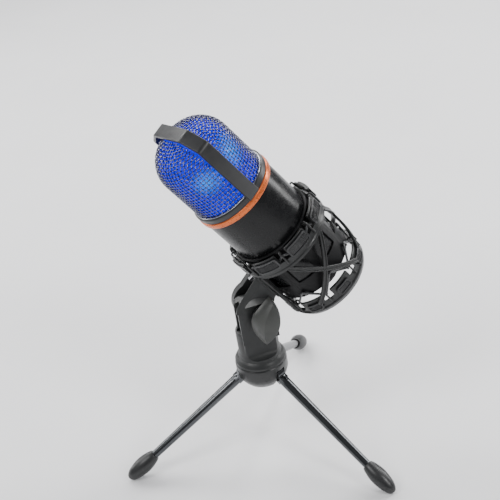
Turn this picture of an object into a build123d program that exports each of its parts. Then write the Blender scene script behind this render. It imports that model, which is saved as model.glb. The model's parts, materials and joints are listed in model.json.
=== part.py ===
from build123d import *
import math
import os

os.makedirs("parts", exist_ok=True)

# Desktop condenser microphone on a folding tripod. Millimetres, +Z up, floor at Z = 0.
# The head leans back along -X, the three legs stand around the hub axis, the tilt pivot runs along Y.

# ---- stand -------------------------------------------------------------------------------------
HUB_X = 12.5697           # hub axis, so that the whole object is centred over the origin
HUB_R = 16.0
HUB_BOTTOM = 47.5
HUB_TOP = 62.4
LEG_HINGE_R = 12.4      # distance of each leg's hinge pin from the hub axis
LEG_HINGE_Z = 54.5
FOOT_R = 94.0           # distance of each foot's tip centre from the hub axis
LEG_D_TOP = 6.4
LEG_D_END = 5.0
FOOT_D = 10.6
FOOT_TIP = 3.0          # radius of the foot's rounded tip
FOOT_LEN = 22.5
LEG_ANGLES = (180, 60, -60)

# ---- neck and tilt pivot -----------------------------------------------------------------------
NECK_R = 12.6
PIVOT_DX = 4.0          # pivot axis ahead of the hub axis
PIVOT_Z = 98.6
NECK_FLAT = 8.3         # distance of the neck's flat sides from its middle plane
NECK_TOP = 106.0
SWING_R = 13.1          # everything of the swivel between the neck's flat sides stays outside this radius
BOLT_R = 3.0
KNOB_LONG = 30.4
KNOB_WIDE = 17.2
KNOB_TURN = 13.0        # the wing stands this many degrees off the vertical

# ---- microphone --------------------------------------------------------------------------------
LEAN = 57.47            # elevation of the microphone axis above the floor
RING_X = HUB_X + 2.45   # centre of the orange ring's lower edge
RING_Z = 178.98
BODY_R = 24.5
BODY_LEN = 70.0
WALL = 2.0
RING_R = 25.6
RING_H = 3.8
COLLAR_R = 25.2
COLLAR_TOP = 7.6
MESH_R = 24.0
MESH_T = 1.5
DOME_T = 34.4           # height above the orange ring's lower edge where the mesh starts to round over
DOME_CORNER = 18.0      # radius of the mesh dome's shoulder
DOME_CROWN = 36.0       # radius of its flatter crown
STRAP_R = 26.1
STRAP_T = 1.8
STRAP_W = 8.4
STRAP_TURN = 111        # direction of the strap's foot around the axis
STRAP_BEND = 47.5       # the strap leaves the mesh's side here
STRAP_TOP = 55.4        # outer face of its flat top
STRAP_FLAT = 14.5       # half length of its flat top

# ---- shock mount -------------------------------------------------------------------------------
CORD_R = 0.7
HOOKS = 8
HOOK_TURN = -10
CRADLE_R = 26.0
UP_TOP = -31.0
UP_NOTCH = -38.0
UP_BOTTOM = -44.0
UP_IN = 28.5
UP_OUT = 29.5
LOW_TOP = -75.0
LOW_NOTCH = -80.0
LOW_BOTTOM = -88.0
LOW_IN = 26.6
LOW_OUT = 27.6
BRACE_TURNS = (102.5, 192.5, 282.5)



def rad(a):
    return math.radians(a)


def polar(r, a, z=0):
    return (r * math.cos(rad(a)), r * math.sin(rad(a)), z)


# Frame of the microphone: Z along its axis toward the dome, X toward the tilt pivot, Y toward -Y.
HEAD = Plane(
    origin=(RING_X, 0, RING_Z),
    x_dir=(-math.sin(rad(LEAN)), 0, -math.cos(rad(LEAN))),
    z_dir=(-math.cos(rad(LEAN)), 0, math.sin(rad(LEAN))),
).location

MADE = {}


def save(name, shape):
    solids = shape.solids()
    out = solids[0] if len(solids) == 1 else Compound(children=list(solids))
    out.label = name
    MADE[name] = out
    export_step(out, f"parts/{name}.step")


def head(name, shape):
    save(name, HEAD * shape)


def turned(points, arc=360):
    """Solid of revolution about Z from (r, z) points."""
    face = make_face(Plane.XZ * Polyline(*points, close=True))
    return revolve(face, Axis.Z, arc)


def tube(r_out, r_in, z0, z1):
    return Pos(0, 0, z0) * extrude(Circle(r_out) - Circle(r_in), z1 - z0)


def rod(r, z0, z1):
    return Pos(0, 0, z0) * extrude(Circle(r), z1 - z0)


def sector(r_out, r_in, z0, z1, a0, a1):
    """Arc-shaped block between two angles about Z."""
    wide = (a1 - a0) / 2
    mid = (a0 + a1) / 2
    far = r_out * 2
    corners = [polar(far, a)[:2] for a in (mid - wide, mid, mid + wide)]
    wedge = Polyline((0, 0), *corners, close=True)
    return tube(r_out, r_in, z0, z1) & (Pos(0, 0, z0 - 1) * extrude(make_face(wedge), z1 - z0 + 2))


def peg(r, start, end):
    """Round pin between two points."""
    a = Vector(*start)
    b = Vector(*end)
    return Plane(origin=a, z_dir=(b - a)).location * extrude(Circle(r), (b - a).length)


def bar(start, end, wide, thick, out):
    """Rectangular strut between two points; out is the direction of its thickness."""
    a = Vector(*start)
    b = Vector(*end)
    run = (b - a).normalized()
    side = run.cross(Vector(*out)).normalized()
    at = Plane(origin=a, x_dir=side, z_dir=run)
    block = at.location * extrude(RectangleRounded(wide, thick, 0.6), (b - a).length)
    return block


def copies(shape, angles):
    return [Rot(0, 0, a) * shape for a in angles]


def fuse(shapes):
    out = shapes[0]
    for s in shapes[1:]:
        out = out + s
    return out


def loop(points, bend):
    """Closed path of straight runs joined by tangent arcs."""
    n = len(points)
    pts = [Vector(*p) for p in points]
    ends = []
    edges = []
    for i in range(n):
        p = pts[i]
        u = (pts[i - 1] - p).normalized()
        v = (pts[(i + 1) % n] - p).normalized()
        half = math.acos(max(-1, min(1, u.dot(v)))) / 2
        back = bend / math.tan(half)
        inner = p + (u + v).normalized() * (bend / math.sin(half))
        middle = inner - (u + v).normalized() * bend
        ends.append((p + u * back, middle, p + v * back))
    for i in range(n):
        edges.append(ThreePointArc(*ends[i]).edge())
        edges.append(Line(ends[i][2], ends[(i + 1) % n][0]).edge())
    return Wire(edges)


# ================================================================================================
# Microphone
# ================================================================================================
tip = fillet(turned([(22.6, 0), (RING_R, 0), (RING_R, RING_H), (22.6, RING_H)]).edges().filter_by(
    lambda e: abs(e.radius - RING_R) < 0.01 if e.geom_type == GeomType.CIRCLE else False), 0.9)
head("accent_ring", tip)

# Collar and strap are one moulding; the collar holds the mesh in a rebate.
collar = turned([
    (20.6, RING_H), (COLLAR_R - 0.3, RING_H), (COLLAR_R, RING_H + 0.5), (COLLAR_R, COLLAR_TOP - 0.6),
    (COLLAR_R - 0.5, COLLAR_TOP), (MESH_R + 0.05, COLLAR_TOP), (MESH_R + 0.05, 5.9),
    (MESH_R - MESH_T - 0.05, 5.9), (MESH_R - MESH_T - 0.05, 7.4), (21.4, 7.4), (21.4, 5.2), (20.6, 5.2),
])


def arch_face(r, top, flat, bend, low):
    """Bent band outline: straight legs, sloping shoulders and a flat top, in the XZ plane."""
    return make_face(Plane.XZ * Polyline(
        (-r, low), (-r, bend), (-flat, top), (flat, top), (r, bend), (r, low), close=True))


outer_face = arch_face(STRAP_R, STRAP_TOP, STRAP_FLAT, STRAP_BEND, RING_H + 0.6)
inner_face = arch_face(STRAP_R - STRAP_T, STRAP_TOP - STRAP_T, STRAP_FLAT - 0.5, STRAP_BEND - 1.1, 0)
band = extrude(outer_face, STRAP_W / 2, both=True)
band = fillet([e for e in band.edges().filter_by(Axis.Y) if e.center().Z > 40], 3.5)
cut = extrude(inner_face, STRAP_W, both=True)
cut = fillet([e for e in cut.edges().filter_by(Axis.Y) if e.center().Z > 40], 1.7)
band = band - cut
outer_edges = [e for e in band.edges() if abs(abs(e.center().Y) - STRAP_W / 2) < 0.01
               and (abs(e.center().X) > STRAP_R - 0.5 * STRAP_T or e.center().Z > STRAP_TOP - 0.4 * STRAP_T
                    or abs(e.center().X) * 7.9 + e.center().Z * 11.6 > STRAP_R * 7.9 + STRAP_BEND * 11.6 - 12)]
band = fillet([e for e in outer_edges if e.center().Z > RING_H + 1], 0.6)
foot_trim = tube(40, COLLAR_R - 0.6, 0, RING_H + 3.5) & Box(80, STRAP_W, 40)
strap = band + (band & foot_trim)
frame = collar + Rot(0, 0, STRAP_TURN) * (strap - rod(MESH_R + 0.3, 0, DOME_T))
head("grille_frame", frame)


def dome_points(r):
    """Shoulder centre radius, joint and apex heights of a dome of outer radius r."""
    corner = DOME_CORNER - (MESH_R - r)
    crown = DOME_CROWN - (MESH_R - r)
    mid = r - corner
    low = DOME_T - math.sqrt((crown - corner) ** 2 - mid ** 2)
    k = corner / (crown - corner)
    return (mid * (1 + k), DOME_T + (DOME_T - low) * k), low + crown, corner, crown


def dome_shell(r, thick, low):
    """Cup with a straight wall and a flattened round end, open at the bottom."""
    inner = r - thick
    joint, apex, corner, crown = dome_points(r)
    joint_in, apex_in, corner_in, crown_in = dome_points(inner)
    line = Polyline((0, apex_in), (0, apex))
    line += RadiusArc((0, apex), joint, crown)
    line += RadiusArc(joint, (r, DOME_T), corner)
    line += Polyline((r, DOME_T), (r, low), (inner, low), (inner, DOME_T))
    line += RadiusArc((inner, DOME_T), joint_in, -corner_in)
    line += RadiusArc(joint_in, (0, apex_in), -crown_in)
    return revolve(make_face(Plane.XZ * line), Axis.Z)


head("grille_mesh", dome_shell(MESH_R, MESH_T, 6.0))
head("foam_liner", dome_shell(MESH_R - MESH_T - 0.3, 3.5, 7.5))

# Light and electronics inside the head
head("light_guide", tube(18.3, 9.0, 5.6, 8.4))
head("led_board", tube(20.5, 6.5, 3.9, 5.1))
led = Pos(14.5, 0, 5.35) * Box(1.8, 1.8, 0.5)
head("led_chips", Compound(children=[s.solid() for s in copies(led, range(0, 360, 45))]))
holder = tube(8.4, 4.6, 8.5, 10.5) + tube(6.4, 4.6, 10.0, 31.0) + tube(9.4, 8.2, 31.0, 37.0)
holder = holder + tube(9.4, 4.6, 30.0, 31.2)
head("capsule_holder", holder)
capsule = rod(8.1, 31.3, 38.6) - tube(8.2, 7.6, 37.9, 39.0)
capsule = capsule - rod(6.6, 38.3, 39.0)
head("capsule", capsule)

# Body tube with a closed bottom and a threaded stub that the cradle is clamped on
tube_body = turned([
    (BODY_R - WALL, 0), (BODY_R, 0), (BODY_R, -BODY_LEN + 1.2), (BODY_R - 1.2, -BODY_LEN),
    (BODY_R - WALL, -BODY_LEN),
])
head("body_tube", tube_body)
base = turned([
    (7.2, -BODY_LEN + 3.0), (BODY_R - WALL - 0.05, -BODY_LEN + 3.0), (BODY_R - WALL - 0.05, -BODY_LEN),
    (10.0, -BODY_LEN), (10.0, -84.0), (7.2, -84.0),
])
base = base - sum([Pos(*polar(19, a, -BODY_LEN + 1)) * Cylinder(1.5, 10) for a in (30, 150, 270)], Part())
port = Pos(0, 0, -82.8) * Box(9.2, 3.5, 2.0)
base = base + (rod(7.2, -84.0, -82.2) - port)
head("base_plug", base)
screw = rod(1.4, -BODY_LEN - 0.1, -BODY_LEN + 5.5) + Pos(0, 0, -BODY_LEN - 0.1) * extrude(Circle(1.4), -0.01)
head("base_screws", Compound(children=[(Pos(*polar(19, a)) * screw).solid() for a in (30, 150, 270)]))
socket = Pos(0, 0, -79.8) * extrude(RectangleRounded(8.94, 3.2, 1.2) - RectangleRounded(8.34, 2.56, 1.0), 7.3)
socket = socket + Pos(0, 0, -76.0) * extrude(RectangleRounded(8.5, 2.9, 1.0), 1.5)
socket = Pos(0, 0, -2.3) * socket
socket = socket + Pos(0, 0, -80.5) * extrude(Rectangle(6.0, 0.7), 3.0)
head("usb_socket", socket)
carrier = tube(7.0, 5.4, -74.5, -60.0) + tube(22.3, 5.4, -62.0, -60.0)
carrier = carrier - Pos(0, 0, -60) * Box(2.0, 34.4, 6)
carrier = carrier + Pos(0, 0, -1.2) * extrude(Circle(22.3) - Circle(14) - Rectangle(2.0, 36.4), -1.6)
pillars = [Pos(x, y, -62) * extrude(Circle(1.6), 60) for x in (-14, 14) for y in (-13, 13)]
carrier = carrier + sum(pillars, Part())
head("board_carrier", carrier)
board = Pos(0, 0, -33) * Box(1.6, 34, 52)
head("main_board", board)
parts_on_board = [
    Pos(2.0, 0, -30) * Box(2.0, 10, 10),
    Pos(1.7, -9, -48) * Box(1.4, 6, 8),
    Pos(1.7, 9, -50) * Box(1.4, 7, 5),
    Pos(2.6, 8, -16) * Box(3.2, 6, 6),
    Pos(4.4, -8, -14) * Cylinder(3.1, 7.2, rotation=(0, 90, 0)),
    Pos(-2.1, 3, -40) * Box(2.4, 12, 9),
]
head("board_parts", Compound(children=[s.solid() for s in parts_on_board]))

# ================================================================================================
# Shock mount
# ================================================================================================
step = 360 / HOOKS
outer_turns = [HOOK_TURN + i * step for i in range(HOOKS)]
inner_turns = [a + step / 2 for a in outer_turns]

# Inner cradle: two rings joined by ribs, a floor under the microphone, and a peg under each elastic bend.
bore = BODY_R + 0.05
cradle = turned([
    (bore, -31.0), (25.2, -30.7), (25.8, -30.7), (26.3, -31.2), (26.3, -32.2), (CRADLE_R, -32.6),
    (CRADLE_R, -42.4), (25.4, -43.2), (25.4, -71.4), (10.3, -71.4), (10.3, -BODY_LEN - 0.15),
    (bore, -BODY_LEN - 0.15),
])
for a in outer_turns:
    cradle = cradle - Rot(0, 0, a) * sector(30, 20, -60.0, -43.4, -15.5, 15.5)
for a in (30, 150, 270):
    cradle = cradle - Pos(*polar(19, a, -71)) * Cylinder(2.2, 4)
for a in inner_turns:
    cradle = cradle + peg(0.7, polar(25.4, a, -40.1), polar(28.0, a, -40.1))
    cradle = cradle + peg(0.7, polar(24.9, a, -68.6), polar(27.7, a, -68.6))
head("inner_cradle", cradle)
nut = rod(15.5, -77.0, -71.5) - rod(10.05, -78, -71)
nut = nut - sum([Pos(*polar(16.2, a, -75)) * Cylinder(1.3, 8) for a in range(0, 360, 20)], Part())
head("retaining_nut", nut)


def ring_with_notches(profile, notch_z, top):
    ring = turned(profile)
    for a in outer_turns:
        gap = sector(40, 20, notch_z, top + 1, -7, 7)
        ring = ring - Rot(0, 0, a) * gap
    return ring


def hooks(centre_r, top, foot_in, foot_out, reach=1.45, r=0.6):
    """Arched eyelets that straddle the ring in its notches; each holds one bend of the elastic."""
    made = []
    arc = Plane.XZ * (Line((-reach, foot_in - top), (-reach, 0)) + RadiusArc((-reach, 0), (reach, 0), reach)
                      + Line((reach, 0), (reach, foot_out - top)))
    start = Plane(origin=(-reach, 0, foot_in - top), z_dir=(0, 0, 1))
    eyelet = sweep(start * Circle(r), path=arc)
    eyelet = Pos(centre_r, 0, top) * eyelet
    for a in outer_turns:
        made.append(Rot(0, 0, a) * eyelet)
    return made


up_profile = [
    (UP_IN, UP_BOTTOM), (UP_OUT + 0.4, UP_BOTTOM), (UP_OUT + 0.4, UP_BOTTOM + 1.6), (UP_OUT, UP_BOTTOM + 2.2),
    (UP_OUT, UP_TOP), (UP_IN, UP_TOP),
]
upper = ring_with_notches(up_profile, UP_NOTCH, UP_TOP)
upper = fuse([upper] + hooks(28.55, -32.6, -35.6, -40.5))
head("cage_upper_ring", upper)

low_profile = [
    (24.8, LOW_BOTTOM), (26.2, LOW_BOTTOM), (26.8, LOW_BOTTOM + 1.0), (27.0, LOW_BOTTOM + 1.6),
    (27.4, LOW_BOTTOM + 2.1), (27.7, LOW_BOTTOM + 2.8), (27.7, LOW_BOTTOM + 3.6), (27.1, LOW_BOTTOM + 4.1),
    (LOW_OUT, LOW_TOP - 2.0), (LOW_OUT, LOW_TOP), (LOW_IN, LOW_TOP), (LOW_IN, LOW_TOP - 5.0), (25.6, -84.0),
    (24.8, -84.6),
]
lower = ring_with_notches(low_profile, LOW_NOTCH, LOW_TOP)
lower = fuse([lower] + hooks(26.45, -74.9, -78.2, -82.5))
head("cage_lower_ring", lower)


def framed_pad(r, low, high, half, rise):
    """Raised frame with rounded corners on a ring of radius r, ribbed inside."""
    pad = sector(r + rise, r + 0.05, low, high, -half, half)
    corners = [e for e in pad.edges() if abs(e.length - rise + 0.05) < 0.01]
    pad = fillet(corners, 1.9)
    inset = math.degrees(1.1 / r)
    floor = sector(r + rise + 1, r + rise - 0.55, low + 1.1, high - 1.1, inset - half, half - inset)
    pad = pad - fillet([e for e in floor.edges() if abs(e.length - 1.55) < 0.01], 0.9)
    count = int((2 * half - 4) / 1.5)
    for i in range(count + 1):
        d = (i - count / 2) * 1.5
        pad = pad + sector(r + rise - 0.2, r + rise - 0.6, low + 1.6, high - 1.6, d - 0.35, d + 0.35)
    return pad


pads = []
for a in inner_turns:
    pads.append((Rot(0, 0, a) * framed_pad(UP_OUT, -39.2, -31.6, step / 2 - 7.5, 1.25)).solid())
head("upper_pads", Compound(children=pads))
pads = []
for a in inner_turns[:-1]:
    pads.append((Rot(0, 0, a) * framed_pad(LOW_OUT, -83.4, -77.6, 10.5, 1.1)).solid())
head("lower_pads", Compound(children=pads))

# Crossed braces between the rings, one group of three
def band_between(p, q, wide):
    """Straight strip of even width between two points of a sketch."""
    run = (Vector(*q) - Vector(*p)).normalized()
    side = Vector(-run.Y, run.X, 0) * (wide / 2)
    a = Vector(*p)
    b = Vector(*q)
    corners = [a + side, b + side, b - side, a - side]
    return make_face(Polyline(*[(c.X, c.Y) for c in corners], close=True))


BRACE_MID = -60.6
BRACE_END = -77.4
shell = turned([
    (28.0, UP_BOTTOM - 0.02), (30.1, UP_BOTTOM - 0.02), (30.6, BRACE_MID), (29.6, BRACE_END),
    (LOW_OUT + 0.02, BRACE_END), (LOW_OUT + 0.02, LOW_TOP - 0.8), (28.6, LOW_TOP - 0.2), (28.35, BRACE_MID),
])
cross = Rectangle(4.6, 4.6)
cross = Pos(0, BRACE_MID) * Rot(0, 0, 45) * cross
for s in (-1, 1):
    cross = cross + band_between((s * 13.3, UP_BOTTOM + 1.5), (0, BRACE_MID), 2.9)
    cross = cross + band_between((0, BRACE_MID), (s * 17.6, -79.8), 2.6)
braces = []
for a in BRACE_TURNS:
    outward = Plane(origin=(0, 0, 0), x_dir=(-math.sin(rad(a)), math.cos(rad(a)), 0), z_dir=polar(1, a))
    prism = outward.location * Pos(0, 0, 18) * extrude(cross, 16)
    braces.append((prism & shell).solid())
head("cage_braces", Compound(children=braces))

# Two upright struts and a flat plate carry the swivel head.
PLATE_OUT = 27.25
PLATE_IN = 25.75
STRUT_TURN = 30.6
frame_parts = [Pos((PLATE_OUT + PLATE_IN) / 2, 0, -54.8) * Box(PLATE_OUT - PLATE_IN, 25.0, 19.6)]
for s in (-1, 1):
    strut_top = polar(29.1, s * STRUT_TURN, UP_BOTTOM - 0.02)
    strut_end = polar(28.9, s * STRUT_TURN, LOW_TOP - 5.0)
    frame_parts.append(bar(strut_top, strut_end, 3.0, 1.8, polar(1, s * STRUT_TURN)))
    web = sector(28.9, 26.6, -64.0, -45.6, -4.5, 4.5)
    frame_parts.append(Rot(0, 0, s * 26.5) * web)
bracket = fuse(frame_parts) - turned(low_profile)
for t in (-50.0, -59.0):
    drill = Plane(origin=(PLATE_IN - 1, 0, t), z_dir=(1, 0, 0)).location
    bracket = bracket - drill * extrude(Circle(1.6), 5) - drill * extrude(Circle(2.8), 2.0)
head("cage_bracket", bracket)
bolts = []
for t in (-50.0, -59.0):
    at = Plane(origin=(PLATE_IN + 0.05, 0, t), z_dir=(1, 0, 0)).location
    shank = at * (extrude(Circle(2.7), 0.9) + extrude(Circle(1.5), 7.0))
    shank = shank - at * extrude(RegularPolygon(1.1, 6), 0.4)
    bolts.append(shank.solid())
head("bracket_screws", Compound(children=bolts))


# Elastic cords: each runs in one closed zigzag between the ring's eyelets and the cradle's pegs.
def elastic(outer_r, outer_t, inner_r, inner_t, bend):
    points = []
    for i in range(HOOKS):
        points.append(polar(outer_r, outer_turns[i], outer_t))
        points.append(polar(inner_r, inner_turns[i], inner_t))
    path = loop(points, bend)
    first = path.edges()[0]
    start = Plane(origin=first @ 0, z_dir=first % 0)
    cord = sweep(start * Circle(CORD_R), path=path)
    return cord, path.length


for name, spec in {
    "elastic_upper": (28.65, -34.3, 27.1, -42.1, 1.6),
    "elastic_lower": (26.6, -76.7, 27.1, -66.4, 1.6),
}.items():
    cord, length = elastic(*spec)
    head(name, cord)
    print(name, "length", round(length, 2), "volume ratio",
          round(MADE[name].volume / (math.pi * CORD_R ** 2 * length), 4))

# ================================================================================================
# Swivel head, neck and tilt clamp
# ================================================================================================
PIVOT = (HUB_X + PIVOT_DX, 0, PIVOT_Z)


def across(outline, y0, y1):
    """Plate from an XZ outline, between two Y planes."""
    return Pos(0, y1, 0) * extrude(Plane.XZ * outline, y1 - y0)


def pivot_disc(r, y0, y1):
    return Plane(origin=(PIVOT[0], y0, PIVOT[2]), z_dir=(0, 1, 0)).location * extrude(Circle(r), y1 - y0)


def at_head(x_out, t):
    """Row-frame X and Z of a point given outward from and along the microphone's axis."""
    c = math.cos(rad(LEAN))
    s = math.sin(rad(LEAN))
    return (RING_X - s * x_out - c * t, RING_Z - c * x_out + s * t)


def plate_of(points, y0, y1):
    return across(make_face(Polyline(*[at_head(*p) for p in points], close=True)), y0, y1)


# The hood: a bevelled visor in front, a foot against the bracket's plate and one cheek behind the neck.
MATE = PLATE_OUT + 0.05
VISOR_FRONT = -12.6
VISOR_BACK = -NECK_FLAT - 0.4
visor = plate_of([
    (MATE, -45.6), (37.7, -48.9), (43.3, -50.6), (49.3, -52.8), (52.0, -54.9), (49.6, -56.0), (43.6, -53.4),
    (40.2, -52.6), (36.8, -53.2), (34.2, -55.6), (32.8, -59.0), (32.3, -63.6), (MATE, -62.6),
], VISOR_FRONT, VISOR_BACK)
edge_a = at_head(MATE, -45.6)
edge_b = at_head(49.3, -52.8)
deep = at_head(28.6, -48.9)
corner_a = Vector(edge_a[0], VISOR_BACK - 0.5, edge_a[1])
corner_b = Vector(edge_b[0], VISOR_BACK - 0.5, edge_b[1])
corner_c = Vector(deep[0], VISOR_FRONT, deep[1])
slope = (corner_b - corner_a).cross(corner_c - corner_a).normalized()
if slope.Y > 0:
    slope = slope * -1
bevel = Plane(origin=corner_a, x_dir=(corner_b - corner_a).normalized(), z_dir=slope)
visor = visor - bevel.location * (Pos(0, 0, 10) * Box(160, 160, 20))
foot = plate_of([(MATE, -45.8), (29.4, -46.6), (29.4, -63.0), (MATE, -62.6)], VISOR_BACK - 0.6, 0.0)
foot = foot + plate_of([(MATE, -52.0), (29.4, -52.0), (29.4, -63.6), (MATE, -63.6)], -0.6, 13.4)
CHEEK = (NECK_FLAT + 0.4, 13.4)     # the hood's plate behind the neck, from Y to Y
arm = plate_of([(MATE, -52.0), (44.0, -56.5), (44.0, -76.0), (31.0, -76.0), (MATE, -63.6)], *CHEEK)
hood = visor + foot + arm + pivot_disc(13.2, *CHEEK)
hood = hood - (pivot_disc(SWING_R, -NECK_FLAT - 0.3, NECK_FLAT + 0.3))
hood = hood - pivot_disc(BOLT_R + 0.03, 5.0, 20.0)
hood = hood - sum([HEAD * (Plane(origin=(20, 0, t), z_dir=(1, 0, 0)).location * extrude(Circle(1.5), 16.2))
                   for t in (-50.0, -59.0)], Part())
save("swivel_hood", hood)

# Neck: a round shoulder that turns in the hub, and a flat-sided post that the hood tilts on.
shoulder = turned([
    (0, HUB_TOP + 0.3), (15.7, HUB_TOP + 0.3), (15.7, 64.2), (14.6, 66.2), (13.4, 67.2), (13.0, 69.6),
    (NECK_R, 71.0), (NECK_R, 84.5), (11.0, 87.5), (0, 87.5),
])
front_cut = Pos(0, -NECK_FLAT - 10, 68.8 + 20) * Box(40, 20, 40)
front_cut = fillet([e for e in front_cut.edges().filter_by(Axis.X) if e.center().Z < 70
                    and e.center().Y > -NECK_FLAT - 1], 4.2)
shoulder = shoulder - front_cut
shoulder = shoulder - Pos(0, NECK_FLAT + 10, 84.0 + 20) * Box(40, 20, 40)
post = Pos(0.9, 0, (80.0 + NECK_TOP) / 2) * Box(22.8, 2 * NECK_FLAT, NECK_TOP - 80.0)
post = fillet([e for e in post.edges().filter_by(Axis.Z) if e.center().X < 0 and e.center().Y > 0], 6.0)
post = fillet([e for e in post.edges().filter_by(Axis.Y) if e.center().Z > 90], 2.4)
groove = Pos(-10.5, -2.6, (86.0 + NECK_TOP + 4) / 2) * Box(6.4, 6.6, NECK_TOP + 4 - 86.0)
neck = shoulder + post - groove
neck = Pos(HUB_X, 0, 0) * neck
spigot = Pos(HUB_X, 0, 0) * rod(6.0, 52.0, HUB_TOP + 1.0)
neck = neck + spigot
neck = neck - Pos(HUB_X, 0, 0) * rod(1.5, 45, 66)
neck = neck - pivot_disc(BOLT_R + 0.03, -20, 20)
save("neck", neck)
pan_screw = rod(1.5, 48.8, 65.0) + rod(4.6, 48.8, 51.6)
pan_screw = pan_screw - rod(5.0, 48, 48.8) - Pos(0, 0, 48.0) * Box(6.0, 1.0, 2.2)
save("pan_screw", Pos(HUB_X, 0, 0) * pan_screw)

# Clamp: bolt fixed in the hood's back cheek, thrust washer, wing knob in front.
bolt = pivot_disc(BOLT_R, -20.0, 13.4)
bolt_end = Plane(origin=(PIVOT[0], CHEEK[1], PIVOT[2]), z_dir=(0, 1, 0)).location
bolt = bolt + bolt_end * extrude(RegularPolygon(6.2, 6), 3.6)
save("pivot_bolt", bolt)
washer = pivot_disc(6.2, -9.0, -NECK_FLAT - 0.05) - pivot_disc(BOLT_R + 0.03, -20, 0)
save("clamp_washer", washer)
KNOB_BACK = -9.3
KNOB_FACE = -12.9
KNOB_TOP = -23.2



def wing_outline(y, top, left, bottom, right, straight):
    """Outline across the pivot axis, long way up and turned a little; two of its four sides may be straight."""
    flat = Plane(
        origin=(PIVOT[0], y, PIVOT[2]),
        x_dir=(math.cos(rad(KNOB_TURN)), 0, -math.sin(rad(KNOB_TURN))),
        z_dir=(0, -1, 0),
    )
    near = ThreePointArc(top, left, bottom)
    far = ThreePointArc(bottom, right, top)
    if straight:
        sides = Line(top, left) + ThreePointArc(left, SHOULDER, bottom)
        sides += Line(bottom, right) + ThreePointArc(right, (-SHOULDER[0], -SHOULDER[1]), top)
    else:
        sides = ThreePointArc(top, near @ 0.25, near @ 0.5) + ThreePointArc(near @ 0.5, near @ 0.75, bottom)
        sides += ThreePointArc(bottom, far @ 0.25, far @ 0.5) + ThreePointArc(far @ 0.5, far @ 0.75, top)
    return flat * make_face(sides)


stem = pivot_disc(6.0, KNOB_FACE - 0.5, KNOB_BACK)
SHOULDER = (-KNOB_WIDE * 0.42, -KNOB_LONG * 0.22)
half_wide = KNOB_WIDE / 2
half_long = KNOB_LONG / 2
wing_back = wing_outline(
    KNOB_FACE, (0.9, half_long), (-half_wide, 2.0), (-0.9, -half_long), (half_wide, -2.0), straight=True)
wing_front = wing_outline(
    KNOB_TOP, (1.4, half_long - 1.0), (-3.1, 0.0), (-0.4, -half_long + 2.2), (6.2, 0.4), straight=False)
wing = loft([wing_back, wing_front], ruled=True)
crown = Pos(PIVOT[0], KNOB_TOP + 52.0, PIVOT[2]) * Cylinder(52.2, 80, rotation=(0, 90, 0))
wing = wing & crown
knob = stem + wing
knob = knob - pivot_disc(BOLT_R + 0.03, -20.3, 0)
save("wing_knob", knob)

# ================================================================================================
# Tripod
# ================================================================================================
hub = turned([
    (6.1, HUB_TOP), (HUB_R - 0.4, HUB_TOP), (HUB_R, HUB_TOP - 0.5), (HUB_R, 55.0), (15.2, 52.4), (13.4, 49.6),
    (11.6, HUB_BOTTOM), (4.9, HUB_BOTTOM), (4.9, 51.7), (6.1, 51.7),
])
hub = Pos(HUB_X, 0, 0) * hub
LEG_DROP = math.degrees(math.atan2(LEG_HINGE_Z - FOOT_TIP + 0.2, FOOT_R - LEG_HINGE_R))
reach = math.hypot(LEG_HINGE_Z - FOOT_TIP + 0.2, FOOT_R - LEG_HINGE_R)


def at_leg(angle, shape):
    """Place a leg built along +X from its hinge."""
    return Pos(HUB_X, 0, 0) * Rot(0, 0, angle) * Pos(LEG_HINGE_R, 0, LEG_HINGE_Z) * Rot(0, LEG_DROP, 0) * shape


slot_w = 6.6
slot_profile = Polyline((-4.4, -30), (-4.4, 0), (-2.6, 4.4), (4.4, 4.4), (30, -12.0), (30, -30), close=True)
slot = Pos(0, slot_w / 2, 0) * extrude(Plane.XZ * make_face(slot_profile), slot_w)
for a in LEG_ANGLES:
    at = Pos(HUB_X, 0, 0) * Rot(0, 0, a) * Pos(LEG_HINGE_R, 0, LEG_HINGE_Z)
    hub = hub - at * slot - at * Cylinder(1.25, 14.0, rotation=(90, 0, 0))
save("hub", hub)


def along_x(points):
    """Solid of revolution about X from (x, r) points."""
    return revolve(make_face(Plane.XZ * Polyline(*points, close=True)), Axis.X)


def foot_shape():
    """Olive-shaped rubber foot around X, fattest in the middle."""
    start = reach + FOOT_TIP - FOOT_LEN
    tip = 50
    end = (reach + FOOT_TIP * math.cos(rad(tip)), FOOT_TIP * math.sin(rad(tip)))
    line = Polyline((start, 0), (start, 3.3))
    line += Spline(
        [(start, 3.3), (start + 4.0, 4.6), (start + 9.5, FOOT_D / 2), (start + 15.5, 4.7), end],
        tangents=[(1, 0.5), (math.sin(rad(tip)), -math.cos(rad(tip)))],
    )
    line += RadiusArc(end, (reach + FOOT_TIP, 0), FOOT_TIP)
    line += Polyline((reach + FOOT_TIP, 0), (start, 0))
    return revolve(make_face(Plane.XZ * line), Axis.X), start


foot_solid, foot_start = foot_shape()
leg = along_x([
    (3.0, 0), (3.0, 2.6), (4.6, LEG_D_TOP / 2), (9.0, LEG_D_TOP / 2), (foot_start + 13.0, LEG_D_END / 2),
    (foot_start + 13.0, 0),
])
lug = Cylinder(4.0, 5.6, rotation=(90, 0, 0)) + Pos(3.0, 0, 0) * Box(6.0, 5.6, 5.2)
leg = leg + lug - Cylinder(1.28, 20, rotation=(90, 0, 0))
foot_solid = foot_solid - along_x([
    (foot_start - 1, 0), (foot_start - 1, LEG_D_END / 2 + 0.25), (foot_start, LEG_D_END / 2 + 0.16),
    (foot_start + 13.0, LEG_D_END / 2), (foot_start + 13.0, 0),
])
for i, a in enumerate(LEG_ANGLES, start=1):
    save(f"leg_{i}", at_leg(a, leg))
    cut = at_leg(a, foot_solid) - Pos(0, 0, -50) * Box(400, 400, 100)
    save(f"foot_{i}", cut)
pins = []
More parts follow.
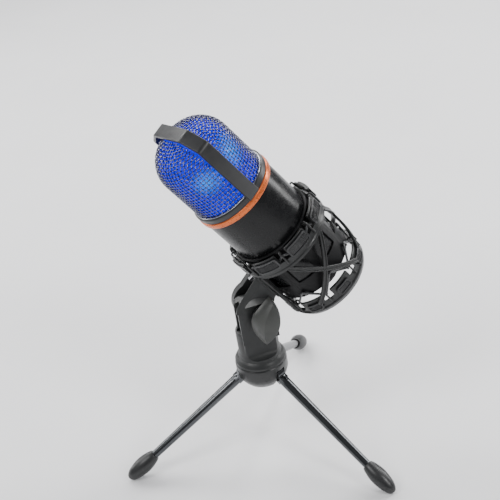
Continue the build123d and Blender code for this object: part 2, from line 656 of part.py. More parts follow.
for a in LEG_ANGLES:
    at = Pos(HUB_X, 0, 0) * Rot(0, 0, a) * Pos(LEG_HINGE_R, 0, LEG_HINGE_Z)
    pins.append((at * Cylinder(1.22, 13.6, rotation=(90, 0, 0))).solid())
save("leg_pins", Compound(children=pins))

# ================================================================================================
# Check print
# ================================================================================================
for name, shape in MADE.items():
    b = shape.bounding_box()
    print(f"{name:20s} solids {len(shape.solids())} vol {shape.volume:9.1f}  {b.min.X:7.1f} {b.max.X:7.1f} "
          f"{b.min.Y:7.1f} {b.max.Y:7.1f} {b.min.Z:7.1f} {b.max.Z:7.1f}")

boxes = [shape.bounding_box() for shape in MADE.values()]
print("whole", min(b.min.X for b in boxes), max(b.max.X for b in boxes), min(b.min.Y for b in boxes),
      max(b.max.Y for b in boxes), min(b.min.Z for b in boxes), max(b.max.Z for b in boxes))
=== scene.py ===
import bpy
import bmesh
import json
import math
from mathutils import Matrix, Vector


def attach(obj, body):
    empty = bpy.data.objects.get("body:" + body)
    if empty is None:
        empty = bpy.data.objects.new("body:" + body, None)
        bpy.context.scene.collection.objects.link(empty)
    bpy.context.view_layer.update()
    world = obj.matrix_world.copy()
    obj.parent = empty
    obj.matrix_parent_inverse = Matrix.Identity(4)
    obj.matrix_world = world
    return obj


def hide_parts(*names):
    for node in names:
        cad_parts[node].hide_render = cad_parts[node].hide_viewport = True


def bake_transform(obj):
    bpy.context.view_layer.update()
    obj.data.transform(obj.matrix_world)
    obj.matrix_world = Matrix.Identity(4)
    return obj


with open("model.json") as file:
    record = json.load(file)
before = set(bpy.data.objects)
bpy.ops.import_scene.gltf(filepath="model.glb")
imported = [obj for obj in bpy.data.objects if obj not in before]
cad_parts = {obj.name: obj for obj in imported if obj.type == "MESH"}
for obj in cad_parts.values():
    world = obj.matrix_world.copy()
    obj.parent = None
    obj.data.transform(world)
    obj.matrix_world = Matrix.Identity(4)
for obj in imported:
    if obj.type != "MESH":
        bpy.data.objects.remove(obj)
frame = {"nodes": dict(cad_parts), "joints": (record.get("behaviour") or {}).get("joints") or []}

rad = math.radians
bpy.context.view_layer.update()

# ================================================================================================
# Places, all from the record. Shapes are in mm, and a place's matrix takes them to metres
# ================================================================================================
MM = 0.001
TO_METRES = Matrix.Diagonal((MM, MM, MM, 1))
NUT_DROP = 75.0  # the retaining nut's middle lies this far below the orange ring's lower edge

JOINTS = {j["name"]: j for j in frame["joints"]}
AXIS = Vector(JOINTS["cradle_float"]["axis"]).normalized()
OUT = Vector((-AXIS.z, 0, AXIS.x))
BASE = Vector(JOINTS["retaining_nut_turn"]["pos_m"]) + AXIS * NUT_DROP * MM
PIVOT = Vector(JOINTS["head_tilt"]["pos_m"])
HUB = Vector(JOINTS["neck_pan"]["pos_m"])

# The microphone's own place: Z runs along its axis, from 0 at the orange ring's lower edge
HEAD = Matrix.Identity(4)
for i, column in enumerate((OUT, AXIS.cross(OUT), AXIS, BASE)):
    HEAD.col[i].xyz = column
HEAD = HEAD @ TO_METRES


def on_head(r, turn, t):
    """Point r from the microphone's axis, at this turn in radians and height along it."""
    return HEAD @ Vector((r * math.cos(turn), r * math.sin(turn), t))


# ================================================================================================
# Materials
# ================================================================================================
class Graph:
    """Small helper for shader graphs."""

    def __init__(self, name):
        self.mat = bpy.data.materials.new(name)
        self.mat.use_nodes = True
        self.tree = self.mat.node_tree
        self.bsdf = next(n for n in self.tree.nodes if n.type == "BSDF_PRINCIPLED")
        self.place = self.add("ShaderNodeTexCoord").outputs["Object"]

    def add(self, kind, **inputs):
        n = self.tree.nodes.new(kind)
        for k, v in inputs.items():
            self.put(n.inputs[k.replace("_", " ")], v)
        return n

    def put(self, socket, v):
        if isinstance(v, bpy.types.NodeSocket):
            self.tree.links.new(v, socket)
        else:
            socket.default_value = v

    def noise(self, scale, detail=3.0):
        n = self.add("ShaderNodeTexNoise", Vector=self.place, Scale=scale, Detail=detail, Roughness=0.55)
        return n.outputs["Fac"]

    def span(self, value, low, high, lo=0.3, hi=0.7):
        """Value spread from lo..hi to low..high."""
        n = self.add("ShaderNodeMapRange")
        for i, v in enumerate((value, lo, hi, low, high)):
            self.put(n.inputs[i], v)
        return n.outputs[0]

    def mix(self, fac, a, b):
        n = self.tree.nodes.new("ShaderNodeMix")
        n.data_type = "RGBA"
        self.put(n.inputs["Factor"], fac)
        self.put(n.inputs[6], a)
        self.put(n.inputs[7], b)
        return n.outputs[2]

    def math(self, op, a, b):
        n = self.tree.nodes.new("ShaderNodeMath")
        n.operation = op
        self.put(n.inputs[0], a)
        self.put(n.inputs[1], b)
        return n.outputs[0]

    def bump(self, height, strength, distance, under=None):
        n = self.add("ShaderNodeBump", Height=height, Strength=strength, Distance=distance)
        if under:
            self.put(n.inputs["Normal"], under)
        return n.outputs[0]

    def out(self, **inputs):
        for k, v in inputs.items():
            self.put(self.bsdf.inputs[k.replace("_", " ")], v)
        return self.mat


def rgb(r, g, b):
    return (r, g, b, 1)


def plastic(name, dark, light, rough, spread=0.07, grain=5200, depth=0.00002, spec=0.5):
    """Moulded plastic, paint or rubber: cloudy colour, smeared gloss and a fine grain."""
    g = Graph(name)
    cloud = g.noise(55, 4)
    fine = g.noise(grain, 2)
    smear = g.noise(240, 3)
    g.out(
        Base_Color=g.mix(g.span(cloud, 0, 1), rgb(*dark), rgb(*light)),
        Roughness=g.span(smear, rough - spread, rough + spread),
        Normal=g.bump(fine, 0.2, depth, g.bump(g.noise(90, 2), 0.04, 0.0001)),
    )
    g.bsdf.inputs["Specular IOR Level"].default_value = spec
    return g.mat


def metal(name, dark, light, rough, spread=0.05, depth=0.00001, metallic=1.0):
    """Bare or painted metal: cloudy colour under fine marks."""
    g = Graph(name)
    marks = g.noise(900, 3)
    cloud = g.noise(70, 4)
    g.out(
        Base_Color=g.mix(g.span(cloud, 0, 1), rgb(*dark), rgb(*light)),
        Roughness=g.span(marks, rough - spread, rough + spread),
        Normal=g.bump(marks, 0.25, depth),
        Metallic=metallic,
    )
    return g.mat


MATS = {
    "black_plastic": plastic(
        "black_plastic", (0.005, 0.0053, 0.006), (0.009, 0.0094, 0.0102), 0.34, spec=0.35),
    "pad_plastic": plastic("pad_plastic", (0.0085, 0.009, 0.0098), (0.014, 0.0145, 0.0155), 0.30),
    "strap_plastic": plastic(
        "strap_plastic", (0.015, 0.0155, 0.0165), (0.023, 0.0235, 0.025), 0.38, spec=0.45),
    "hood_plastic": plastic(
        "hood_plastic", (0.0145, 0.0155, 0.0155), (0.0225, 0.0238, 0.0238), 0.45, spec=0.38),
    # painted light: the knob's plastic is made several times lighter than the other stand plastics, for the
    # light falling on its face
    "knob_plastic_painted_light": plastic("knob_plastic_painted_light", (0.035, 0.037, 0.035), (0.051, 0.053, 0.049), 0.50, spec=0.36),
    "stand_plastic": plastic(
        "stand_plastic", (0.0095, 0.0102, 0.0102), (0.0155, 0.0163, 0.0163), 0.33, spec=0.45),
    "cradle_plastic": plastic(
        "cradle_plastic", (0.0025, 0.0026, 0.003), (0.0045, 0.0047, 0.0052), 0.45, spec=0.2),
    "body_paint": plastic(
        "body_paint", (0.0032, 0.0034, 0.0038), (0.0055, 0.0058, 0.0064), 0.27, 0.05, 7000, 0.000006, 0.3),
    "orange_trim": metal("orange_trim", (0.62, 0.125, 0.028), (0.72, 0.165, 0.042), 0.30, metallic=0.6),
    "mesh_wire": metal("mesh_wire", (0.095, 0.098, 0.14), (0.18, 0.185, 0.24), 0.15, 0.03),
    # a real hem band, its metal made lighter than the mesh wire as a painted highlight line along the mesh's
    # lower edge
    "hem_wire_painted_highlight": metal("hem_wire_painted_highlight", (0.34, 0.35, 0.38), (0.48, 0.49, 0.52), 0.22),
    "leg_metal": metal("leg_metal", (0.075, 0.078, 0.082), (0.10, 0.104, 0.108), 0.20, 0.03, 0.000002),
    "screw_steel": metal("screw_steel", (0.20, 0.20, 0.21), (0.30, 0.30, 0.31), 0.3),
    "capsule_metal": metal("capsule_metal", (0.55, 0.42, 0.20), (0.68, 0.54, 0.28), 0.25),
    "socket_steel": metal("socket_steel", (0.5, 0.5, 0.52), (0.62, 0.62, 0.64), 0.22),
    "foot_rubber": plastic(
        "foot_rubber", (0.014, 0.0145, 0.015), (0.021, 0.0215, 0.022), 0.38, 0.05, 2600, 0.00001),
    "elastic": plastic(
        "elastic", (0.030, 0.0305, 0.032), (0.065, 0.066, 0.069), 0.28, 0.06, depth=0.00003, spec=0.7),
    "circuit_board": plastic("circuit_board", (0.006, 0.05, 0.022), (0.01, 0.075, 0.03), 0.35),
    "components": plastic("components", (0.012, 0.012, 0.013), (0.02, 0.02, 0.02), 0.3),
}

# Painted pools of brighter light on the foam: turn in degrees, height, and reach in metres
PAINTED_POOL_R = 21.0
PAINTED_POOLS = ((80, 29.0, 0.010), (142, 29.5, 0.012))


def painted_glow_foam():
    """Open-cell foam with a painted blue glow for the LEDs' light from below, painted brightest in two pools
    beside the strap.
    """
    g = Graph("foam")
    cells = g.add("ShaderNodeTexVoronoi", Vector=g.place, Scale=900.0).outputs["Distance"]
    base = g.noise(160, 3)

    def glow(turn, t, wide):
        away = g.add("ShaderNodeVectorMath", Vector=g.place)
        away.operation = "DISTANCE"
        away.inputs[1].default_value = on_head(PAINTED_POOL_R, rad(turn), t)
        return g.span(away.outputs["Value"], 1.0, 0.0, 0.0, wide)

    # painted pools of light, brightest at each pool's middle
    hot = g.math("MAXIMUM", *[glow(*spot) for spot in PAINTED_POOLS])
    colour = g.mix(hot, rgb(0.0002, 0.001, 0.90), rgb(0.006, 0.26, 1.0))
    level = g.math("MULTIPLY", g.span(base, 0.8, 1.15), g.span(cells, 1.15, 0.65, 0.0, 0.6))
    level = g.math("MULTIPLY", level, g.math("ADD", g.math("MULTIPLY", hot, 0.6), 1.0))
    # painted light: the foam's emission stands for the LEDs' light, the foam being no lamp
    g.out(
        Base_Color=rgb(0.0, 0.0, 0.05),
        Roughness=0.9,
        Emission_Color=colour,
        Emission_Strength=g.math("MULTIPLY", level, 1.6),
        Normal=g.bump(cells, 0.5, 0.0003),
    )
    g.bsdf.inputs["Specular IOR Level"].default_value = 0.1
    return g.mat


def frosted():
    """Frosted light guide under the foam, with a painted blue glow for the LEDs' light carried through it.
    """
    g = Graph("clear_guide")
    g.out(
        Base_Color=rgb(0.6, 0.75, 1.0),
        Roughness=g.span(g.noise(500), 0.35, 0.5),
        # painted glow: the guide's emission stands for the LEDs' light, the guide being no lamp
        Emission_Color=rgb(0.05, 0.15, 1.0),
        Emission_Strength=2.0,
    )
    g.bsdf.inputs["Transmission Weight"].default_value = 0.5
    return g.mat


def diode():
    """White package with a blue emitter."""
    g = Graph("led")
    return g.out(
        Base_Color=rgb(0.8, 0.82, 0.9),
        Roughness=g.span(g.noise(900), 0.25, 0.4),
        Emission_Color=rgb(0.05, 0.12, 1.0),
        Emission_Strength=g.span(g.noise(2000), 5.0, 7.0),
    )


MATS["foam"] = painted_glow_foam()
MATS["clear_guide"] = frosted()
MATS["led"] = diode()

# ================================================================================================
# Mesh tools
# ================================================================================================
WELD = 2e-6  # metres


def new_object(name, verts, faces):
    """Object in the scene from points in metres."""
    me = bpy.data.meshes.new(name)
    me.from_pydata([tuple(v) for v in verts], [], faces)
    me.validate()
    me.update()
    obj = bpy.data.objects.new(name, me)
    bpy.context.scene.collection.objects.link(obj)
    return obj


def tidy(obj, flat):
    """Weld the points, join faces within flat degrees of one plane, and turn all faces outward."""
    bm = bmesh.new()
    bm.from_mesh(obj.data)
    bmesh.ops.remove_doubles(bm, verts=bm.verts, dist=WELD)
    if flat:
        bmesh.ops.dissolve_limit(bm, angle_limit=rad(flat), verts=bm.verts, edges=bm.edges)
    bmesh.ops.recalc_face_normals(bm, faces=bm.faces)
    bm.to_mesh(obj.data)
    bm.free()


def finish_piece(obj, body, slot, nodes, angle, bevel=0.0, segments=2):
    me = obj.data
    me.materials.clear()
    me.materials.append(MATS[slot])
    for p in me.polygons:
        p.use_smooth = True
    me.set_sharp_from_angle(angle=rad(angle))
    if bevel:
        b = obj.modifiers.new("edges", "BEVEL")
        b.width = bevel * MM
        b.segments = segments
        b.limit_method = "ANGLE"
        b.angle_limit = rad(angle)
        b.harden_normals = True
        b.use_clamp_overlap = True
    if body:
        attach(obj, body)
    if nodes:
        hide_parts(*nodes)
    return obj


def from_cad(node, body, slot, bevel, angle=32, flat=0.6, segments=2):
    """Surface of a CAD node with welded, softly rounded edges."""
    obj = bpy.data.objects.new(node + "_v", frame["nodes"][node].data.copy())
    bpy.context.scene.collection.objects.link(obj)
    tidy(obj, flat)
    return finish_piece(obj, body, slot, [node], angle, bevel, segments)


def rounded(points, count):
    """Closed outline through points (a, b) or (a, b, radius), with true corner arcs."""
    out = []
    n = len(points)
    for i, p in enumerate(points):
        r = p[2] if len(p) > 2 else 0
        if not r:
            out.append((p[0], p[1]))
            continue
        c = Vector(p[:2])
        u = Vector(points[i - 1][:2]) - c
        v = Vector(points[(i + 1) % n][:2]) - c
        half = u.angle(v) / 2
        back = min(r / math.tan(half), u.length * 0.49, v.length * 0.49)
        r = back * math.tan(half)
        u.normalize()
        v.normalize()
        mid = c + (u + v).normalized() * (r / math.sin(half))
        a0 = (c + u * back) - mid
        a1 = (c + v * back) - mid
        turn = math.atan2(a0.x * a1.y - a0.y * a1.x, a0.dot(a1))
        for k in range(count + 1):
            at = mid + Matrix.Rotation(turn * k / count, 2) @ a0
            out.append((at.x, at.y))
    return out


def lathe(name, outline, slot, nodes, n, angle=40):
    """Solid of revolution about the microphone's axis, from (radius, height) points."""
    verts, faces, rings = [], [], []
    for r, t in rounded(outline, 5):
        if r == 0:
            rings.append([len(verts)] * n)
            verts.append(HEAD @ Vector((0, 0, t)))
        else:
            rings.append([len(verts) + k for k in range(n)])
            verts += [on_head(r, math.tau * k / n, t) for k in range(n)]
    for a, b in zip(rings, rings[1:] + rings[:1]):
        for k in range(n):
            j = (k + 1) % n
            face = list(dict.fromkeys([a[k], a[j], b[j], b[k]]))
            if len(face) > 2:
                faces.append(face)
    obj = new_object(name, verts, faces)
    tidy(obj, 0)
    return finish_piece(obj, "microphone", slot, nodes, angle)


def skin(rings):
    """Points and faces over closed rings of as many points each, with flat ends."""
    n = len(rings[0])
    last = (len(rings) - 1) * n
    faces = []
    for k in range(0, last, n):
        for i in range(n):
            j = (i + 1) % n
            faces.append([k + i, k + j, k + n + j, k + n + i])
    faces.append(list(reversed(range(n))))
    faces.append([last + i for i in range(n)])
    return [p for ring in rings for p in ring], faces


def merged(parts):
    """One list of points and one of faces from several."""
    verts, faces = [], []
    for v, f in parts:
        first = len(verts)
        verts += v
        faces += [[first + i for i in face] for face in f]
    return verts, faces


def wires(paths, radius, sides=6):
    """Points and faces of round wires along open paths in metres."""
    parts = []
    for points in paths:
        rings = []
        up = None
        for i, p in enumerate(points):
            run = (points[min(i + 1, len(points) - 1)] - points[max(i - 1, 0)]).normalized()
            if up is None:
                up = run.orthogonal().normalized()
            up = (up - run * up.dot(run)).normalized()
            side = run.cross(up)
            turns = [math.tau * k / sides for k in range(sides)]
            rings.append([p + (up * math.cos(w) + side * math.sin(w)) * radius for w in turns])
        parts.append(skin(rings))
    return merged(parts)


# ================================================================================================
# Microphone head
# ================================================================================================
STRAP_TURN = 111  # the strap's plane, in degrees round the axis
STRAP_EDGE = 4.0  # half the gap that the strap leaves between the two halves of mesh
MESH_R = 24.0  # outer radius of the mesh
DOME_T = 34.4  # height at which the dome starts
DOME_CORNER = 18.0  # radius of the dome's shoulder at MESH_R
DOME_CROWN = 36.0  # radius of its crown
PITCH = 2.2  # from wire to wire
WIRE = 0.29  # half a wire's thickness
WEAVE_R = MESH_R - 2.2 * WIRE  # radius of the woven sheet's middle
WEAVE_LOW = 7.3  # height at which the wires start
WEAVE_TOP = 17  # rows of wire above DOME_T, more than reach the strap
WEAVE_STEP = 0.25  # from point to point of a wire, in pitches
ROW_HINGE = 0.8  # 1 keeps the rows over the dome level, 0 hinges them all on its middle
ROW_REACH = 0.1  # the rows run closer to the strap than the other wires by this

# Outlines of the turned pieces: radius, height, and the corner's own radius
RING_OUTLINE = [(22.6, 0), (25.6, 0, 0.8), (25.6, 3.8, 0.8), (22.6, 3.8)]
HEM_OUTLINE = [(23.6, 7.5), (24.35, 7.5, 0.2), (24.35, 8.05, 0.25), (23.6, 8.05, 0.25)]
TUBE_OUTLINE = [(22.5, 0), (24.5, 0, 0.25), (24.5, -70, 1.3), (22.5, -70)]


def dome(r, share):
    """Radius, height and normal angle on a dome of side radius r, share of the way up to its apex."""
    corner = DOME_CORNER - (MESH_R - r)
    crown = DOME_CROWN - (MESH_R - r)
    mid = r - corner
    low = -math.sqrt((crown - corner) ** 2 - mid ** 2)
    turn = math.atan2(-low, mid)
    run = share * (corner * turn + crown * (math.pi / 2 - turn))
    if run < corner * turn:
        a = run / corner
        return mid + corner * math.cos(a), DOME_T + corner * math.sin(a), a
    a = turn + (run - corner * turn) / crown
    return crown * math.cos(a), DOME_T + low + crown * math.sin(a), a


def woven(u, v, facing, lift):
    """Point of the pressed mesh, and its distance from the strap's plane.

    u counts the wires that run up, v the rows that run across, and lift is how far the point stands out
    of the sheet. One half of the mesh faces 0 degrees and the other 180.
    """
    side = math.sin(u * PITCH / WEAVE_R) * WEAVE_R
    if v <= 0:
        p = Vector((side, math.cos(u * PITCH / WEAVE_R) * WEAVE_R, DOME_T + v * PITCH))
        normal = Vector((p.x, p.y, 0)).normalized()
    else:
        up = v * PITCH / WEAVE_R
        pivot = ROW_HINGE * WEAVE_R * math.sin(up)
        k = math.cos(up) * WEAVE_R / (WEAVE_R * math.sin(up) - pivot)
        root = (k * k * pivot) ** 2 - (k * k + 1) * ((k * pivot) ** 2 - WEAVE_R ** 2 + side ** 2)
        high = (k * k * pivot + math.sqrt(max(root, 0))) / (k * k + 1)
        ball = Vector((side, k * (high - pivot), 0))
        reach, height, a = dome(WEAVE_R, math.atan2(high, ball.length) / (math.pi / 2))
        ball.normalize()
        p = ball * reach + Vector((0, 0, height))
        normal = ball * math.cos(a) + Vector((0, 0, math.sin(a)))
    p = p + normal * lift
    turn = rad(STRAP_TURN + facing)
    along = Vector((math.cos(turn), math.sin(turn), 0))
    across = Vector((-along.y, along.x, 0))
    return along * p.x + across * p.y + Vector((0, 0, p.z)), p.y


def wire_places(start, end):
    """Places along a wire from start to just before end, in pitches."""
    return [start + WEAVE_STEP * k for k in range(math.ceil((end - start) / WEAVE_STEP))]


def grille_half(name, facing):
    """One half of the woven mesh, each wire passing over and under the wires that cross it."""
    paths = []
    wide = math.acos(STRAP_EDGE / WEAVE_R) * WEAVE_R / PITCH
    low = (WEAVE_LOW - DOME_T) / PITCH
    for i in range(-int(wide), int(wide) + 1):
        path = []
        for v in wire_places(low, WEAVE_TOP):
            p, gap = woven(i, v, facing, WIRE * math.cos(math.pi * v) * (-1) ** i)
            if v > 0 and gap < STRAP_EDGE:
                break
            path.append(HEAD @ p)
        paths.append(path)
    for j in range(int(low), WEAVE_TOP + 1):
        path = []
        for u in wire_places(-wide, wide):
            p, gap = woven(u, j, facing, -WIRE * math.cos(math.pi * u) * (-1) ** j)
            if gap >= STRAP_EDGE - ROW_REACH:
                path.append(HEAD @ p)
        if len(path) > 3:
            paths.append(path)
    obj = new_object(name, *wires(paths, WIRE * MM))
    finish_piece(obj, "microphone", "mesh_wire", ["grille_mesh"], 80)


def cup(r, thick, low, count=48):
    """Outline of a dome-ended cup, open at the height low."""
    walls = []
    for radius in (r, r - thick):
        wall = [(radius, low)] + [dome(radius, k / count)[:2] for k in range(count + 1)]
        wall[-1] = (0, wall[-1][1])  # exactly on the axis
        walls.append(wall)
    return walls[0] + walls[1][::-1]


lathe("orange_ring", RING_OUTLINE, "orange_trim", ["accent_ring"], 220)
from_cad("grille_frame", "microphone", "strap_plastic", 0.35)
grille_half("mesh_near", 0)
grille_half("mesh_far", 180)
# hem band at the mesh's lower edge, its lighter metal a painted highlight line
lathe("mesh_hem", HEM_OUTLINE, "hem_wire_painted_highlight", [], 200)
lathe("foam_cup", cup(r=22.2, thick=3.4, low=7.8), "foam", ["foam_liner"], 160, angle=60)
from_cad("light_guide", "microphone", "clear_guide", 0.2)
from_cad("led_board", "microphone", "circuit_board", 0.05)
from_cad("led_chips", "microphone", "led", 0.05)
from_cad("capsule_holder", "microphone", "black_plastic", 0.2)
from_cad("capsule", "microphone", "capsule_metal", 0.15)

lathe("tube_shell", TUBE_OUTLINE, "body_paint", ["body_tube"], 220)
from_cad("base_plug", "microphone", "black_plastic", 0.25)
from_cad("base_screws", "microphone", "screw_steel", 0.12)
from_cad("usb_socket", "microphone", "socket_steel", 0.08)
from_cad("board_carrier", "microphone", "black_plastic", 0.2)
from_cad("main_board", "microphone", "circuit_board", 0.08)
from_cad("board_parts", "microphone", "components", 0.12)

# ================================================================================================
# Shock mount
# ================================================================================================
BRACE_TURNS = (102.5, 192.5, 282.5)  # where the pairs of straps cross
# A strap's top, crossing and end: distance to the side of the crossing, and height
BRACE_TOP, BRACE_MID, BRACE_END = (-13.6, -43.6), (0, -60.6), (16.8, -78.6)
BRACE_RISE = BRACE_TOP[1] - BRACE_MID[1]
BRACE_R = 29.45  # radius of a strap's middle at the crossing
BRACE_BELLY = 0.35  # it is closer in by this at the top
BRACE_DRAW = 0.45  # and by this as well at the same distance below the crossing
BRACE_LIFT = 0.12  # one strap of a pair stands out by this, and the other in
BRACE_SECTION = [
    (-1.45, -0.75, 0.3), (-1.45, 0.95, 0.45), (-0.72, 0.95, 0.3), (-0.55, 0.5, 0.15),
    (0.55, 0.5, 0.15), (0.72, 0.95, 0.3), (1.45, 0.95, 0.45), (1.45, -0.75, 0.3),
]

BEADS = 8  # a cage ring has this many stretches between its notches
BEAD_TURN = 12.5  # middle of the first one, in degrees
BEAD_SPAN = 29.2  # length of each, in degrees
BEAD_STEPS = 24
BEAD_R = 0.72


def brace_radius(t):
    """Radius of the middle of the braces, a little bellied between the rings."""
    share = (t - BRACE_MID[1]) / BRACE_RISE
    return BRACE_R - BRACE_BELLY * share * share + BRACE_DRAW * min(share, 0)


def brace(turn, side, count=36):
    """Grooved strap that crosses the cage wall from the upper ring to the lower one."""
    section = rounded(BRACE_SECTION, 4)
    middles = []
    for i in range(count + 1):
        w = i / count
        a, b, c = (1 - w) * (1 - 2 * w), 4 * w * (1 - w), w * (2 * w - 1)
        u, t = (a * BRACE_TOP[k] + b * BRACE_MID[k] + c * BRACE_END[k] for k in (0, 1))
        r = brace_radius(t)
        angle = rad(turn) + math.asin(side * u / r)
        out = Vector((math.cos(angle), math.sin(angle), 0))
        middles.append((out * (r + BRACE_LIFT * side) + Vector((0, 0, t)), out))
    rings = []
    for i, (middle, out) in enumerate(middles):
        run = (middles[min(i + 1, count)][0] - middles[max(i - 1, 0)][0]).normalized()
        over = run.cross(out).normalized()
        up = over.cross(run).normalized()
        rings.append([HEAD @ (middle + over * x + up * y) for x, y in section])
    return skin(rings)


def rim_beads(name, r, t):
    """Rounded beads on the edge of a cage ring, between its notches."""
    paths = []
    for i in range(BEADS):
        start = BEAD_TURN + 360 / BEADS * i - BEAD_SPAN / 2
        turns = [rad(start + BEAD_SPAN * k / BEAD_STEPS) for k in range(BEAD_STEPS + 1)]
        paths.append([on_head(r, turn, t) for turn in turns])
    obj = new_object(name, *wires(paths, BEAD_R * MM, 12))
    finish_piece(obj, "cage", "stand_plastic", [], 60)


def elastic(node):
    """Elastic that hangs from the cage's ring and holds the cradle, its CAD surface copied in place and tied
    to no body.
    """
    loop = from_cad(node, None, "elastic", 0, angle=60, flat=0)
    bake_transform(loop)


from_cad("inner_cradle", "microphone", "cradle_plastic", 0.25)
from_cad("retaining_nut", "nut", "black_plastic", 0.3)
from_cad("cage_upper_ring", "cage", "stand_plastic", 0.25)
from_cad("cage_lower_ring", "cage", "stand_plastic", 0.25)
from_cad("upper_pads", "cage", "pad_plastic", 0.12)
from_cad("lower_pads", "cage", "pad_plastic", 0.12)
braces = new_object("brace_straps", *merged([brace(turn, side) for turn in BRACE_TURNS for side in (-1, 1)]))
tidy(braces, 0)
finish_piece(braces, "cage", "stand_plastic", ["cage_braces"], 50)
rim_beads("upper_rim_beads", 29.0, -31.2)
rim_beads("lower_rim_beads", 27.1, -75.2)
from_cad("cage_bracket", "cage", "stand_plastic", 0.3)
from_cad("bracket_screws", "cage", "screw_steel", 0.1)
elastic("elastic_upper")
elastic("elastic_lower")

# ================================================================================================
# Swivel and stand
# ================================================================================================
# The knob: places along the pivot's axis are measured from PIVOT, and outlines are seen along it
KNOB_TURN = 13.0  # degrees the wing leans off the vertical
KNOB_BULGE = 0.7  # the face's middle stands out by this
KNOB_SWELL = 0.5  # and the sides' by this
CROWN_Y, CROWN_R = 28.8, 52.2  # the face is part of a cylinder about a level line at CROWN_Y
ROOT_Y, STEM_Y, BORE_Y = -12.9, -9.3, -20.3
STEM_R, BORE_R = 6.0, 3.04
FACE_MID = (1.4, 0.4)
FACE_TOP, FACE_LEFT, FACE_BOTTOM, FACE_RIGHT = (1.4, 14.2), (-3.1, 0.0), (-0.4, -13.0), (6.2, 0.4)
ROOT_TOP, ROOT_CORNER, ROOT_SHOULDER = (0.9, 15.2), (-8.6, 2.0), (-7.2, -6.7)
SIDE_STEPS = 28  # steps down each side of an outline
WALL_STEPS = 8  # steps from the face to the root
FACE_SHARES = (0.0, 0.12, 0.3, 0.5, 0.7, 0.86, 1.0)  # rings of the face, from its middle


def between(a, b, share):
    """Point this share of the way from a to b."""
    return tuple(p + (q - p) * share for p, q in zip(a, b))


def turned_over(p):
    """The same point of an outline after half a turn."""
    return (-p[0], -p[1])


def bow(a, b, c, count):
    """Points on the circle through a, b and c, from a to c."""
    (ax, ay), (bx, by), (cx, cy) = a, b, c
    d = 2 * (ax * (by - cy) + bx * (cy - ay) + cx * (ay - by))
    sa, sb, sc = ax * ax + ay * ay, bx * bx + by * by, cx * cx + cy * cy
    ox = (sa * (by - cy) + sb * (cy - ay) + sc * (ay - by)) / d
    oy = (sa * (cx - bx) + sb * (ax - cx) + sc * (bx - ax)) / d
    start = math.atan2(ay - oy, ax - ox)
    sweep = (math.atan2(cy - oy, cx - ox) - start + math.pi) % math.tau - math.pi
    r = math.hypot(ax - ox, ay - oy)
    turns = [start + sweep * k / count for k in range(count + 1)]
    return [(ox + r * math.cos(a), oy + r * math.sin(a)) for a in turns]


def softened(line, times):
    """Round an open line's corners by repeated averaging, its ends kept."""
    for _ in range(times):
        inner = [between(between(a, c, 0.5), b, 0.5) for a, b, c in zip(line, line[1:], line[2:])]
        line = [line[0]] + inner + [line[-1]]
    return line


def crown(w):
    """Place along the pivot of the knob's crowned face, w above its middle."""
    return CROWN_Y - math.sqrt(CROWN_R ** 2 - w * w)


def disc(r, y):
    """Ring of points about the pivot's axis."""
    turns = [math.pi / 2 + math.pi * k / SIDE_STEPS for k in range(2 * SIDE_STEPS)]
    return [(r * math.cos(a), y, r * math.sin(a)) for a in turns]


def wing_knob():
    """Wing knob: a leaf with a coffin-shaped root, a crowned face, and a bored round stem."""
    half = SIDE_STEPS // 2
    straight = [between(ROOT_TOP, ROOT_CORNER, k / half) for k in range(half)]
    left = softened(straight + bow(ROOT_CORNER, ROOT_SHOULDER, turned_over(ROOT_TOP), half), 6)
    root = left[:-1] + [turned_over(p) for p in left[:-1]]
    face = bow(FACE_TOP, FACE_LEFT, FACE_BOTTOM, SIDE_STEPS)[:-1]
    face += bow(FACE_BOTTOM, FACE_RIGHT, FACE_TOP, SIDE_STEPS)[:-1]
    rings = []
    for share in FACE_SHARES:
        bulge = KNOB_BULGE * (1 - share ** 2)
        ring = []
        for p in face:
            u, w = between(FACE_MID, p, share)
            ring.append((u, crown(p[1] * share) - bulge, w))
        rings.append(ring)
    for share in [k / WALL_STEPS for k in range(1, WALL_STEPS + 1)]:
        swell = KNOB_SWELL * math.sin(math.pi * share)
        ring = []
        for p, q in zip(face, root):
            u, w = between(p, q, share)
            grow = 1 + swell / math.hypot(u, w)
            ring.append((u * grow, crown(p[1]) * (1 - share) + ROOT_Y * share, w * grow))
        rings.append(ring)
    rings += [disc(STEM_R, ROOT_Y), disc(STEM_R, STEM_Y), disc(BORE_R, STEM_Y), disc(BORE_R, BORE_Y)]
    place = Matrix.Translation(PIVOT) @ Matrix.Rotation(rad(KNOB_TURN), 4, "Y") @ TO_METRES
    verts, faces = skin(rings)
    obj = new_object("wing_knob_v", [place @ Vector(v) for v in verts], faces)
    tidy(obj, 0)
    # its plastic lighter than the rest of the stand: painted light
    finish_piece(obj, "knob", "knob_plastic_painted_light", ["wing_knob"], 36, 0.35, 3)


from_cad("swivel_hood", "cage", "hood_plastic", 0.5, segments=3)
from_cad("pivot_bolt", "cage", "screw_steel", 0.15)
from_cad("clamp_washer", "cage", "screw_steel", 0.15)
wing_knob()
from_cad("neck", "neck", "hood_plastic", 0.9, segments=4)
from_cad("pan_screw", "neck", "screw_steel", 0.15)
from_cad("hub", "tripod", "stand_plastic", 0.35, segments=3)
from_cad("leg_pins", "tripod", "screw_steel", 0.15)
for number, body in enumerate(("leg_a", "leg_b", "leg_c"), 1):
    from_cad(f"leg_{number}", body, "leg_metal", 0.2)
    from_cad(f"foot_{number}", body, "foot_rubber", 0.3)

# ================================================================================================
# Floor, light and camera, in metres
# ================================================================================================
FLOOR_HALF, FLOOR_Z = 4.0, -0.0004
MIDDLE = (0, 0, 0.13)
SKY = (0.95, 0.96, 1.0, 1)
SKY_STRENGTH = 0.28
EYE = (HUB.x - 0.115589, -0.584951, 0.509703)
EYE_TURN = (57.7892, 8.4647, -16.9422)  # degrees about X, Y and Z
LENS, SENSOR = 86.86, 36  # mm


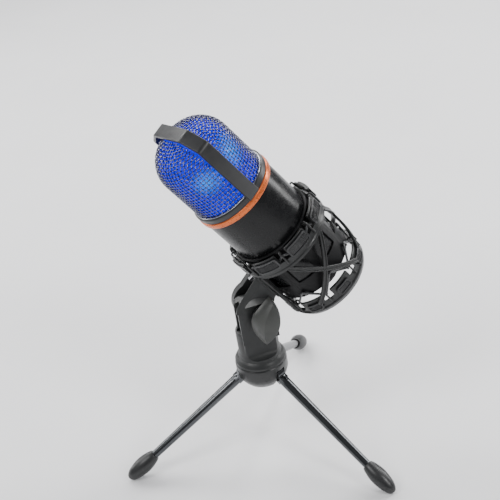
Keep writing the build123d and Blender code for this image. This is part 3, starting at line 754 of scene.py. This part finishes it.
def pale_floor():
    """Plain floor that the object stands on."""
    g = Graph("floor")
    g.out(
        Base_Color=g.mix(g.span(g.noise(9, 4), 0, 1), rgb(0.80, 0.80, 0.81), rgb(0.83, 0.83, 0.84)),
        Roughness=g.span(g.noise(60), 0.72, 0.82),
        Normal=g.bump(g.noise(1500, 3), 0.1, 0.0001),
    )
    corners = [(x * FLOOR_HALF, y * FLOOR_HALF, FLOOR_Z) for x, y in ((-1, -1), (1, -1), (1, 1), (-1, 1))]
    floor = new_object("floor", corners, [(0, 1, 2, 3)])
    floor.data.materials.append(g.mat)


def softbox(name, at, toward, wide, high, watts):
    """Soft studio light, a rectangle turned toward a point."""
    light = bpy.data.lights.new(name, "AREA")
    light.shape = "RECTANGLE"
    light.size = wide
    light.size_y = high
    light.energy = watts
    obj = bpy.data.objects.new(name, light)
    obj.location = at
    obj.rotation_euler = (Vector(toward) - Vector(at)).to_track_quat("-Z", "Y").to_euler()
    bpy.context.scene.collection.objects.link(obj)


pale_floor()
world = bpy.data.worlds.new("studio")
bpy.context.scene.world = world
world.use_nodes = True
sky = world.node_tree.nodes["Background"]
sky.inputs["Color"].default_value = SKY
sky.inputs["Strength"].default_value = SKY_STRENGTH

softbox("key", (-0.75, -0.25, 1.0), MIDDLE, 0.45, 0.45, 7)
softbox("front", (0.55, -0.80, 0.75), MIDDLE, 0.25, 0.25, 5)
softbox("right", (0.80, 0.10, 0.60), MIDDLE, 0.22, 0.9, 8)
softbox("back", (-0.1, 0.9, 0.9), MIDDLE, 0.9, 0.4, 13)
softbox("left", (-0.85, 0.75, 0.60), MIDDLE, 0.2, 0.8, 7)
softbox("rim", (0.75, 0.85, 0.75), (0, 0, 0.17), 0.2, 0.6, 6)

camera = bpy.data.cameras.new("camera")
camera.lens = LENS
camera.sensor_width = SENSOR
eye = bpy.data.objects.new("camera", camera)
eye.location = EYE
eye.rotation_euler = [rad(a) for a in EYE_TURN]
bpy.context.scene.collection.objects.link(eye)
bpy.context.scene.camera = eye

bpy.context.view_layer.update()
